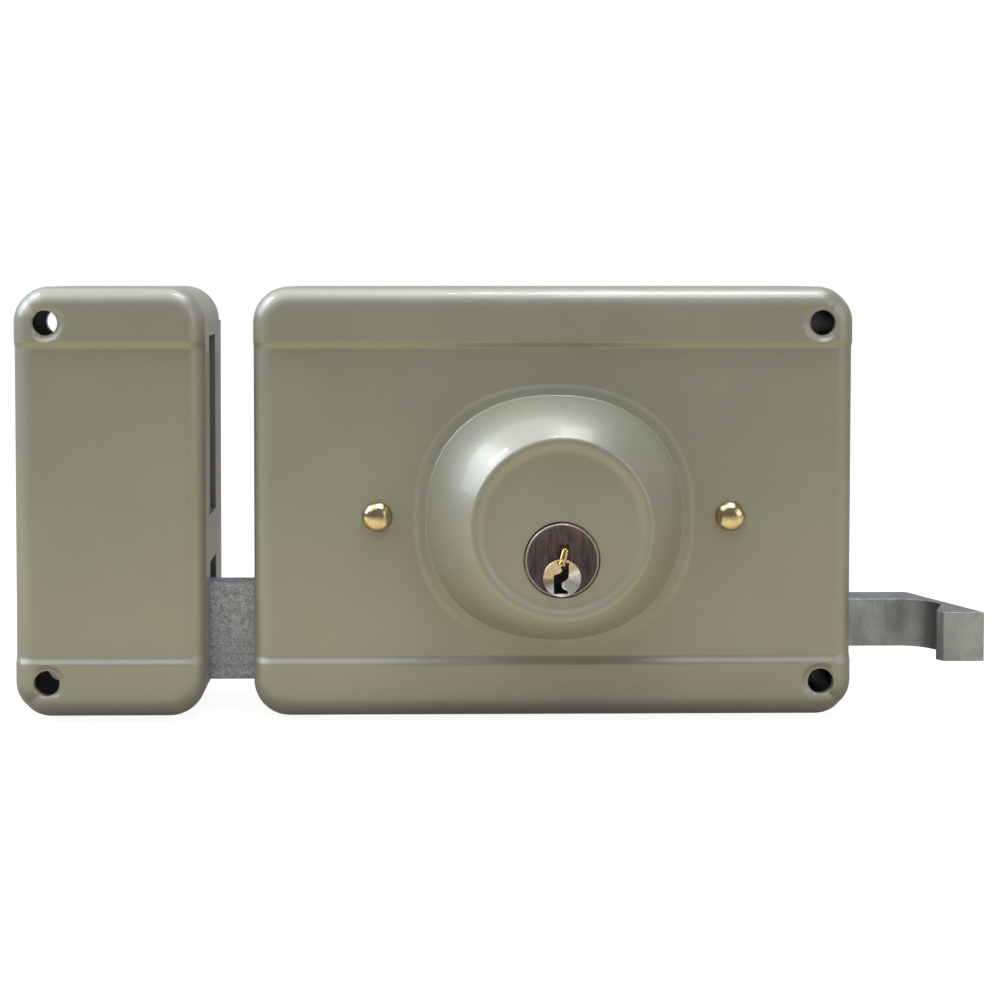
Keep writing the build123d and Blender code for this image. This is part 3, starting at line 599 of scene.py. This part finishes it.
strikeCover = {
    "sides": (-134.5, -87.0),
    "columns": [(-129.5, 0.45), (-125.5, 0.45), (-119.5, 2.4), (-96.0, 0.75), (-92.0, 0.75)],
    "rows": [
        (-48.8, 0.45), (-44.0, 0.45), (-41.2, 0.28), (-37.5, 2.4), (37.5, 0.28), (41.2, 0.45),
        (44.0, 0.45), (48.8, 0.45),
    ],
    "holes": [(-126.1, 44.8), (-126.1, -44.8)],
    "mouthCut": (-92, -84),
    "upperMouth": (-24.0, -9.2, -4.6, 41.2),
    "lowerMouth": (-24.0, -9.2, -48.0, -16.7),
    "mouthCorner": 5.0,
}


def bulge(points, steps):   # a curve through four control points
    curve = []
    for step in range(steps + 1):
        t = step / steps
        weights = (1 - t) ** 3, 3 * t * (1 - t) ** 2, 3 * t * t * (1 - t), t ** 3
        curve.append(tuple(sum(w * point[i] for w, point in zip(weights, points)) for i in (0, 1)))
    return curve


def domeProfile():
    side, first = bulge(dome["side"], dome["sideSteps"]), dome["sideStart"]
    ring, softRing = dome["ring"] + [side[first]], dome["ringSoftness"] + [0]
    crest, softCrest = side[-1:] + dome["crest"], [0] + dome["crestSoftness"]
    start = softCorners(ring, softRing, dome["cornerSteps"])
    end = softCorners(crest, softCrest, dome["cornerSteps"])
    return start + side[first + 1:-1] + end


def frontDepth(x, z, holes, inside):   # inside: how far from the rounded edge
    rise = smoothRise((abs(z) - cover["stepFoot"]) / (cover["stepTop"] - cover["stepFoot"]))
    y = cover["panelDrop"] * (1 - rise) - cover["depth"]
    slope = cover["dishRadius"] - cover["holeRadius"] - cover["dishRim"]
    for holeX, holeZ in holes:
        fall = (cover["dishRadius"] - math.hypot(x - holeX, z - holeZ)) / slope
        dish = cover["dishDepth"] * smoothRise(fall) * smoothRise(inside / cover["dishFade"])
        y = max(y, dish - cover["depth"])
    return y


def roundCorner(x, z, low, high, halfZ, radius):
    # a square at each corner of the flat part becomes a quarter of a disc
    baseX = min(max(x, low + radius), high - radius)
    baseZ = min(max(z, radius - halfZ), halfZ - radius)
    a, b = (x - baseX) / radius, (z - baseZ) / radius
    if a and b:
        wide, tall = abs(a), abs(b)
        if wide >= tall:
            reach, turn = wide, math.pi / 4 * tall / wide
        else:
            reach, turn = tall, math.pi / 2 - math.pi / 4 * wide / tall
        a = math.copysign(reach * math.cos(turn), a)
        b = math.copysign(reach * math.sin(turn), b)
    return baseX + a * radius, baseZ + b * radius, a, b


def blockRim(c0, c1, r0, r1):   # row and column of each point round a block of the front
    rim = [(r0, i) for i in range(c0, c1)] + [(j, c1) for j in range(r0, r1)]
    return rim + [(r1, i) for i in range(c1, c0, -1)] + [(j, c0) for j in range(r1, r0, -1)]


def makeCover(name, shell, withDome):
    edge, steps, walls = cover["edgeRadius"], cover["edgeSteps"], cover["wallSteps"]
    inner = cover["cornerRadius"] - edge
    left, right = shell["sides"][0] + edge, shell["sides"][1] - edge
    top = cover["halfHeight"] - edge
    panel = cover["panelDrop"] - cover["depth"]
    xs, zs = spread(shell["columns"]), spread(shell["rows"])
    wide, tall = len(xs), len(zs)
    points, faces = [], []
    for z in zs:
        for x in xs:
            px, pz, _, _ = roundCorner(x, z, left, right, top, inner)
            inside = min(px - left, right - px, top - abs(pz))
            points.append((px, frontDepth(px, pz, shell["holes"], inside), pz))
    domeColumns = domeRows = range(0)
    if withDome:
        domeColumns = range(xs.index(-dome["blockX"]), xs.index(dome["blockX"]))
        domeRows = range(zs.index(dome["blockLow"]), zs.index(dome["blockHigh"]))
    for row in range(tall - 1):
        for column in range(wide - 1):
            if column in domeColumns and row in domeRows:
                continue
            first = row * wide + column
            faces.append((first, first + 1, first + 1 + wide, first + wide))
    # round the edge and down the walls
    rim = blockRim(0, wide - 1, 0, tall - 1)
    last = [j * wide + i for j, i in rim]
    starts = []
    for j, i in rim:
        outward = roundCorner(xs[i], zs[j], left, right, top, inner)[2:]
        starts.append((points[j * wide + i], outward))
    levels = [(math.pi / 2 * k / steps, 0.0) for k in range(1, steps + 1)]
    levels += [(math.pi / 2, k / walls) for k in range(1, walls + 1)]
    for turn, down in levels:
        ring = []
        out, drop = edge * math.sin(turn), edge * (1 - math.cos(turn))
        for (x, y, z), (a, b) in starts:
            deep = (panel if abs(z) < cover["stepFoot"] else y) + drop
            if not down:
                deep = max(deep, frontDepth(x + a * out, z + b * out, [], 0))
            ring.append(len(points))
            points.append((x + a * out, deep * (1 - down), z + b * out))
        faces += [(last[i], last[i - 1], ring[i - 1], ring[i]) for i in range(len(ring))]
        last = ring
    if withDome:
        addDome(points, faces, domeColumns, domeRows, wide)
    piece = newPiece(name, points, faces)
    modifier = piece.modifiers.new("skin", "SOLIDIFY")
    modifier.thickness = cover["skin"] * mm
    modifier.offset = -1.0
    settle(piece)
    return piece


def addDome(points, faces, columns, rows, wide):
    rim = blockRim(columns[0], columns[-1] + 1, rows[0], rows[-1] + 1)
    last = [j * wide + i for j, i in rim]
    starts = [points[k] for k in last]
    turns = [math.atan2(z - dome["z"], x) for x, _, z in starts]
    panel = cover["panelDrop"] - cover["depth"]
    profile = domeProfile()
    foot, nose = profile[0][0], dome["noseRadius"]
    rings = []
    for share in dome["webShares"]:
        ring = []
        for (x, _, z), turn in zip(starts, turns):
            goalX, goalZ = ovalPoint(foot, 1.0, turn)
            ring.append((x + (goalX - x) * share, panel, z + (goalZ - z) * share))
        rings.append(ring)
    top = profile[-1][1]
    for radius, height in profile + [(dome["noseInner"], top), (0.0, top)]:
        oval = smoothRise((radius - nose) / (foot - nose))
        ring = [ovalPoint(radius, oval, turn) for turn in turns]
        rings.append([(x, panel - height, z) for x, z in ring])
    for ring in rings:
        places = list(range(len(points), len(points) + len(ring)))
        points += ring
        faces += [(last[i - 1], last[i], places[i], places[i - 1]) for i in range(len(ring))]
        last = places


def ovalPoint(radius, oval, turn):   # oval: 0 gives a circle, 1 the foot's squarer outline
    if radius == 0:
        return 0.0, dome["z"]
    wideX = radius + dome["wider"] * oval
    wideZ = radius - dome["lower"] * oval
    power = 2 + dome["square"] * oval
    a, b = abs(math.cos(turn)) / wideX, abs(math.sin(turn)) / wideZ
    reach = (a ** power + b ** power) ** (-1 / power)
    return reach * math.cos(turn), dome["z"] + reach * math.sin(turn)


def fixingHoles(shell):
    outlines = [circle(x, z, cover["holeRadius"]) for x, z in shell["holes"]]
    return [prism("hole", outline, *cover["holeCut"], "y") for outline in outlines]


def makeCaseCover():
    piece = makeCover("case_shell", caseCover, True)
    cutters = fixingHoles(caseCover)
    for x in caseCover["screwXs"]:
        outline = circle(x, dome["z"], caseCover["screwRadius"], 24)
        cutters.append(prism("screw", outline, *cover["holeCut"], "y"))
    outline = circle(0, dome["noseHoleZ"], dome["noseHoleRadius"], 96)
    cutters.append(prism("nose", outline, *dome["noseCut"], "y"))
    for side, window in (
        ("leftCut", "deadboltWindow"), ("leftCut", "latchWindow"), ("rightCut", "hookWindow")
    ):
        cutters.append(prism("window", boxOutline(*caseCover[window]), *caseCover[side], "x"))
    cutAway(piece, cutters)
    shadeSoft(piece)
    finishPiece(piece, lacquer, "case", "case_cover")


def makeStrikeCover():
    piece = makeCover("strike_shell", strikeCover, False)
    cutters = fixingHoles(strikeCover)
    upper = boxOutline(*strikeCover["upperMouth"])
    lower = boxOutline(*strikeCover["lowerMouth"])
    lower = softCorners(lower, [0, 0, 0, strikeCover["mouthCorner"]], 8, True)
    cutters += [prism("mouth", mouth, *strikeCover["mouthCut"], "x") for mouth in (upper, lower)]
    cutAway(piece, cutters)
    shadeSoft(piece)
    finishPiece(piece, lacquer, "case", "strike_cover")


makeCaseCover()
makeStrikeCover()


print("cylinder")

cylinder = {
    "frontY": -56.3,
    "pinYs": (-51.0, -47.0, -43.0, -39.0, -35.0),
    "chamberRadius": 1.2,
}

barrel = {
    "z": -10.8,
    "radius": 8.7,
    "rimWidth": 0.35,
    "rimSlope": 0.15,
    "faceSink": 0.06,
    "edge": (0.1, 0.12),
    "rearRadius": 11.0,
    "rearY": -54.0,
    "flangeRadius": 16.0,
    "flangeY": -31.5,
    "backY": -28.5,
    "boreGap": 0.06,
    "boreCut": (-58, -27),
    "notch": (-0.9, 1.7, -11.6, -7.0),
    "notchCorner": 0.3,
    "notchDepth": 0.5,
    "chamberFoot": 4.0,
    "chamberTop": -0.8,
    "capSlot": (-1.5, 1.5, -53.0, -33.0),
    "capSlotZ": (-1.3, 1.2),
    "screwXs": (-13.5, 13.5),
    "screwRadius": 1.6,
    "screwCut": (-33, -27),
}

plug = {
    "z": -15.1,
    "radius": 4.5,
    "edge": 0.06,
    "backY": -28.3,
    "neck": (2.3, -27.3),
    "head": (2.9, -26.1),
    # the key slot's outline round the plug's middle
    "keyway": [
        (0.1, 3.85), (1.7, 3.7), (1.55, 0.25), (1.1, -0.3), (0.1, -0.9), (-0.1, -1.7),
        (0.2, -2.5), (1.35, -3.0), (1.4, -3.75), (-1.95, -3.75), (-2.0, 0.75), (-0.9, 1.1),
        (-0.15, 1.55), (0.0, 2.1), (-0.4, 2.8),
    ],
    "keywayCorner": 0.28,
    "keywayEndY": -31.0,
    "mouth": (-1.6, 1.25, -5, -3.3),
    "mouthDepth": 0.5,
    "chamberTop": 6,
    "blade": (-0.8, 0.8, -2, 2),
    "bladeCut": (-26.2, -20.0),
}

notchPin = {
    "foot": (-0.35, -57.7, -11.9),
    "top": (0.85, -56.5, -7.9),
    "radius": 0.95,
    "footEdge": (0.15, 0.25),
    "groove": (0.9, 1.0, 1.35, 1.45),
    "grooveDepth": 0.14,
    "topEdge": (0.3, 0.4),
    "softness": 0.12,
}


def makeBarrel():
    front, z, radius = cylinder["frontY"], barrel["z"], barrel["radius"]
    face, rim = front + barrel["faceSink"], radius - barrel["rimWidth"]
    edgeIn, edgeDown = barrel["edge"]
    rear, flange = barrel["rearRadius"], barrel["flangeRadius"]
    profile = [
        (0, face), (rim - barrel["rimSlope"], face), (rim, front), (radius - edgeIn, front),
        (radius, front + edgeDown), (radius, barrel["rearY"]), (rear, barrel["rearY"]),
        (rear, barrel["flangeY"]), (flange, barrel["flangeY"]), (flange, barrel["backY"]),
        (0, barrel["backY"]),
    ]
    piece = lathe("cylinder_barrel", profile, 0, z)
    bore = circle(0, plug["z"], plug["radius"] + barrel["boreGap"], 96)
    cutters = [prism("bore", bore, *barrel["boreCut"], "y")]
    notch = softCorners(boxOutline(*barrel["notch"]), barrel["notchCorner"], 3, True)
    cutters.append(prism("notch", notch, front - 1, front + barrel["notchDepth"], "y"))
    chamberZ = plug["z"] + barrel["chamberFoot"], barrel["chamberTop"]
    for y in cylinder["pinYs"]:
        chamber = circle(0, y, cylinder["chamberRadius"], 24)
        cutters.append(prism("chamber", chamber, *chamberZ, "z"))
    cutters.append(prism("slot", boxOutline(*barrel["capSlot"]), *barrel["capSlotZ"], "z"))
    for x in barrel["screwXs"]:
        screw = circle(x, z, barrel["screwRadius"], 24)
        cutters.append(prism("screw", screw, *barrel["screwCut"], "y"))
    cutAway(piece, cutters)
    shadeSoft(piece)
    finishPiece(piece, barrelMetal, "case", "cylinder_body")


def makePlug():
    front, z, radius, edge = cylinder["frontY"], plug["z"], plug["radius"], plug["edge"]
    neck, neckY = plug["neck"]
    head, headY = plug["head"]
    profile = [
        (0, front), (radius - edge, front), (radius, front + edge), (radius, plug["backY"]),
        (neck, plug["backY"]), (neck, neckY), (head, neckY), (head, headY), (0, headY),
    ]
    piece = lathe("plug_core", profile, 0, z, 192)
    outline = [(x, z + rise) for x, rise in plug["keyway"]]
    outline = softCorners(outline, plug["keywayCorner"], 4, True)
    cutters = [prism("keyway", outline, front - 1, plug["keywayEndY"], "y")]
    left, right, low, high = plug["mouth"]
    mouth = boxOutline(left, right, z + low, z + high)
    cutters.append(prism("mouth", mouth, front - 1, front + plug["mouthDepth"], "y"))
    for y in cylinder["pinYs"]:
        chamber = circle(0, y, cylinder["chamberRadius"], 24)
        cutters.append(prism("chamber", chamber, z, z + plug["chamberTop"], "z"))
    cutAway(piece, cutters)
    left, right, low, high = plug["blade"]
    blade = prism("blade", boxOutline(left, right, z + low, z + high), *plug["bladeCut"], "y")
    piece = joinPieces("plug_core", [piece, blade])
    shadeSoft(piece)
    finishPiece(piece, nickel, "plug", "cylinder_plug")


def makeNotchPin():   # the brass pin that leans in the barrel's notch
    foot, top = Vector(notchPin["foot"]), Vector(notchPin["top"])
    radius, length = notchPin["radius"], (top - foot).length
    footIn, footUp = notchPin["footEdge"]
    topIn, topDown = notchPin["topEdge"]
    neck, groove = radius - notchPin["grooveDepth"], notchPin["groove"]
    profile = [
        (0, 0.0), (radius - footIn, 0.0), (radius, footUp), (radius, groove[0]),
        (neck, groove[1]), (neck, groove[2]), (radius, groove[3]), (radius, length - topDown),
        (radius - topIn, length), (0, length),
    ]
    profile = softCorners(profile, notchPin["softness"], 3)
    piece = lathe("notch_pin_turned", profile, 0, 0, 40)
    turn = Vector((0, 1, 0)).rotation_difference(top - foot).to_matrix().to_4x4()
    piece.data.transform(Matrix.Translation(foot * mm) @ turn)
    cleanMesh(piece.data)
    shadeSoft(piece)
    finishPiece(piece, agedBrass, "case", "notch_pin")


makeBarrel()
makePlug()
makeNotchPin()


print("screws of the dome")

domeScrew = {
    "x": 44.0,
    "z": -3.5,
    "headRadius": 3.8,
    "headHeight": 2.4,
    "headSteps": 20,
    "crown": 1.1,   # above 1 the head is a little more pointed than an ellipse
    "edge": 0.05,
    "shank": 2.0,
    "seatY": -35.0,
    "endY": -28.0,
}


def makeDomeScrew(name, x, node):
    seat, shank, steps = domeScrew["seatY"], domeScrew["shank"], domeScrew["headSteps"]
    radius, height = domeScrew["headRadius"], domeScrew["headHeight"]
    profile = []
    for step in range(steps + 1):   # the domed head
        turn = math.pi / 2 * step / steps
        rise = height * math.cos(turn) ** domeScrew["crown"]
        profile.append((radius * math.sin(turn), seat - rise))
    profile += [
        (radius - domeScrew["edge"], seat), (shank, seat), (shank, domeScrew["endY"]),
        (0, domeScrew["endY"]),
    ]
    piece = lathe(name, profile, x, domeScrew["z"], 64)
    shadeSoft(piece)
    finishPiece(piece, brass, "case", node)


makeDomeScrew("brass_screw_left", -domeScrew["x"], "dome_screw_left")
makeDomeScrew("brass_screw_right", domeScrew["x"], "dome_screw_right")


print("bolts, plates and inner parts")

# CAD parts whose edges are broken: width and steps of the edge
broken = {
    "weld": 2e-6,         # metres
    "flatWithin": 0.8,    # degrees
    "sharpOver": 35,
    "softUnder": 40,
    "latch_bolt": (0.45, 3),
    "pull_hook": (0.5, 3),
    "strike_plate": (0.3, 2),
    "back_plate": (0.3, 2),
}


def softened(node, name):
    width, segments = broken[node]
    mesh = nodes[node].data.copy()
    mesh.name = name
    work = bmesh.new()
    work.from_mesh(mesh)
    bmesh.ops.remove_doubles(work, verts=work.verts, dist=broken["weld"])
    flat, limit = math.radians(broken["flatWithin"]), math.radians(broken["sharpOver"])
    bmesh.ops.dissolve_limit(work, angle_limit=flat, verts=work.verts, edges=work.edges)
    sharp = [e for e in work.edges if len(e.link_faces) == 2 and e.calc_face_angle() > limit]
    bmesh.ops.bevel(
        work, geom=sharp, offset=width * mm, segments=segments, profile=0.5,
        affect="EDGES", clamp_overlap=True,
    )
    work.to_mesh(mesh)
    work.free()
    mesh.materials.clear()
    piece = linked(name, mesh)
    shadeSoft(piece, broken["softUnder"])
    modifier = piece.modifiers.new("flat", "WEIGHTED_NORMAL")   # the wide faces stay flat
    modifier.weight = 100
    modifier.keep_sharp = True
    settle(piece)
    return piece


def makeSpring():   # a copy of the CAD coil with a mesh of its own; the share of its length kept at full pull is worked out but not used
    piece = linked("latch_spring_coil", nodes["latch_spring"].data.copy())
    finishPiece(piece, springSteel, "case", "latch_spring")
    low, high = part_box("latch_spring")
    joints = {joint["name"]: joint for joint in frame["record"]["behaviour"]["joints"]}
    keep = 1 - joints["latch_pull"]["range_m"][1] / (high[0] - low[0])
    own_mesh(piece)


for node, name, finish, body, slot in (
    ("latch_bolt", "latch_head", sintered, "latch", "sintered_steel"),
    ("pull_hook", "pull_hook_bar", satinZinc, "latch", "hook_steel"),
    ("strike_plate", "strike_plate_bent", dullSteel, "case", "zinc_steel"),
    ("back_plate", "back_plate_soft", zincPlate, "case", "zinc_steel"),
):
    finishPiece(softened(node, name), finish, body, node)
makeSpring()

# the CAD parts that stay take their finish from their material slot
cadFinish = {
    "zinc_steel": zincPlate,
    "cover_enamel": lacquer,
    "hardened_steel": hardSteel,
    "sintered_steel": sintered,
    "hook_steel": satinZinc,
    "spring_steel": springSteel,
    "barrel_metal": barrelMetal,
    "nickel": nickel,
    "brass": brass,
}
# painted shade: the sleeves are near-black so that the fixing holes are dark inside
finishOf = {"screw_sleeves": holeShadeBlack}
slotOf = {entry["node"]: entry["material_slot"] for entry in frame["record"]["subparts"]}
for name, node in nodes.items():
    finish = finishOf.get(name, cadFinish.get(slotOf.get(name), zincPlate))
    for place in range(len(node.data.materials)):
        node.data.materials[place] = finish


print("stage, lamps and camera")

stage = {
    "floorZ": -0.055,
    "floorSize": 4.0,
    "floorPaintedLight": (0.76, 0.635, 0.42, 1.0),   # painted pool of light on the floor in front of the lock
    "floorPaintedShadow": (0.2, 0.17, 0.12, 1.0),       # painted shadow under and behind it
    "paintedLightStart": (38.0, 60.0),                  # where the painted light begins, in mm to the front
    "paintedLightEnd": (130.0, 270.0),              # where the painted light fades out again
    "paintedLightFadeShare": 0.8,
    "floorCloud": 0.1,
    "floorRoughness": 0.8,
    "seenWhite": 0.93,
    "mirrored": 0.2,
    "roomFront": 0.24,
    "roomBack": 0.5,
    "backdropStart": (0.1, 0.5),
    "fill": 0.22,
    "roomColour": (0.82, 0.92, 1.0, 1.0),
}

# each lamp looks at the lock: place, direction of its long side, size, power, colour
lamps = {
    "overhead": ((-0.38, -0.12, 0.88), (1, 0, 0), (1.2, 1.3), 10.4, (0.84, 0.92, 1.0)),
    "top_right": ((0.25, -0.2, 0.88), (1, 0, 0), (0.35, 0.8), 4.2, (0.84, 0.92, 1.0)),
    "left": ((-1.6, -0.1, 1.0), (0, 1, 0), (1.2, 1.2), 27, (0.72, 0.86, 1.0)),
    "right": ((0.8, -0.6, 0.3), (0, 1, 0), (0.6, 0.6), 2.0, (0.93, 0.97, 1.0)),
    "upper_left": ((-0.62, -0.12, 0.68), (0.73, 0, 0.68), (0.25, 0.035), 1.4, (1.0, 1.0, 1.0)),
    "upper_right": ((0.14, -0.15, 0.90), (1, 0, 0), (0.30, 0.035), 2.0, (1.0, 1.0, 1.0)),
}

camera = {
    "place": (-0.03706, -0.44926, 0.05612),
    "down": 1.81,
    "right": 0.85,
    "lens": 60.24,
    "sensor": 36.0,
    "shift": (0.07, -0.17),
    "clipStart": 0.01,
}


def whiteSeen(wire):   # 1 for rays that show the background itself, also through glass
    return between(wire.make("LightPath", out=0) + wire.make("LightPath", out=6), 0.2, 0.8)


def makeStage():
    size, z = stage["floorSize"] / mm / 2, stage["floorZ"] / mm
    corners = [(-size, -size, z), (size, -size, z), (size, size, z), (-size, size, z)]
    floor = newPiece("floor", corners, [(0, 1, 2, 3)])
    material, wire = startFinish("pale_floor")
    point = placeInMm(wire)
    tone = noiseAt(point, 60.0, 3.0)
    ahead = -1 * wire.make("SeparateXYZ", None, {0: point}, 1)
    # painted light and shade on the floor: dark under and behind the lock, light in front, darker
    # again farther off
    poolFade = stage["paintedLightFadeShare"] * between(ahead, *stage["paintedLightEnd"])
    paintedPool = between(ahead, *stage["paintedLightStart"]) * (1 - poolFade)
    paintedPool = paintedPool * (1 - stage["floorCloud"] * tone)
    colour = blendColour(paintedPool, stage["floorPaintedShadow"], stage["floorPaintedLight"])
    shown = whiteSeen(wire) + stage["mirrored"] * wire.make("LightPath", out=3)
    surface = wire.make("BsdfPrincipled", None, {
        "Base Color": colour, "Roughness": stage["floorRoughness"], "Emission Color": grey(1.0),
        "Emission Strength": stage["seenWhite"] * shown.arith("MINIMUM", shown, 1.0),
    })
    wire.make("OutputMaterial", None, {"Surface": surface})
    floor.data.materials.append(material)


def makeWorld():
    world = bpy.data.worlds.new("studio")
    bpy.context.scene.world = world
    world.use_nodes = True
    world.node_tree.nodes.clear()
    wire = Wire(world.node_tree)
    direction = wire.make("TexCoord", out=0)
    away = wire.make("SeparateXYZ", None, {0: direction}, 1)
    gloss = wire.make("LightPath", out=3)
    backdrop = between(away, *stage["backdropStart"])
    room = stage["roomFront"] + (stage["roomBack"] - stage["roomFront"]) * backdrop
    unseen = gloss * room + (1 - gloss) * stage["fill"]
    shown = whiteSeen(wire)
    level = shown + (1 - shown) * unseen
    colour = blendColour(between(shown + gloss, 0.2, 0.8), stage["roomColour"], grey(1.0))
    light = wire.make("Background", None, {"Color": colour, "Strength": level})
    wire.make("OutputWorld", None, {"Surface": light})


def makeLamp(name, place, side, size, power, colour):
    data = bpy.data.lights.new(name, "AREA")
    data.shape = "RECTANGLE"
    data.size, data.size_y = size
    data.energy = power
    data.color = colour
    lamp = linked(name, data)
    back, side = Vector(place).normalized(), Vector(side)
    across = (side - back * side.dot(back)).normalized()
    turn = Matrix((across, back.cross(across), back)).transposed()
    lamp.matrix_world = Matrix.Translation(place) @ turn.to_4x4()


def makeCamera():
    data = bpy.data.cameras.new("camera")
    data.lens = camera["lens"]
    data.sensor_width = camera["sensor"]
    data.shift_x, data.shift_y = camera["shift"]
    data.clip_start = camera["clipStart"]
    view = linked("camera", data)
    view.location = camera["place"]
    view.rotation_euler = (math.radians(90 - camera["down"]), 0, math.radians(-camera["right"]))
    bpy.context.scene.camera = view
    bpy.context.scene.view_settings.view_transform = "Standard"


makeStage()
makeWorld()
for name, values in lamps.items():
    makeLamp(name, *values)
makeCamera()
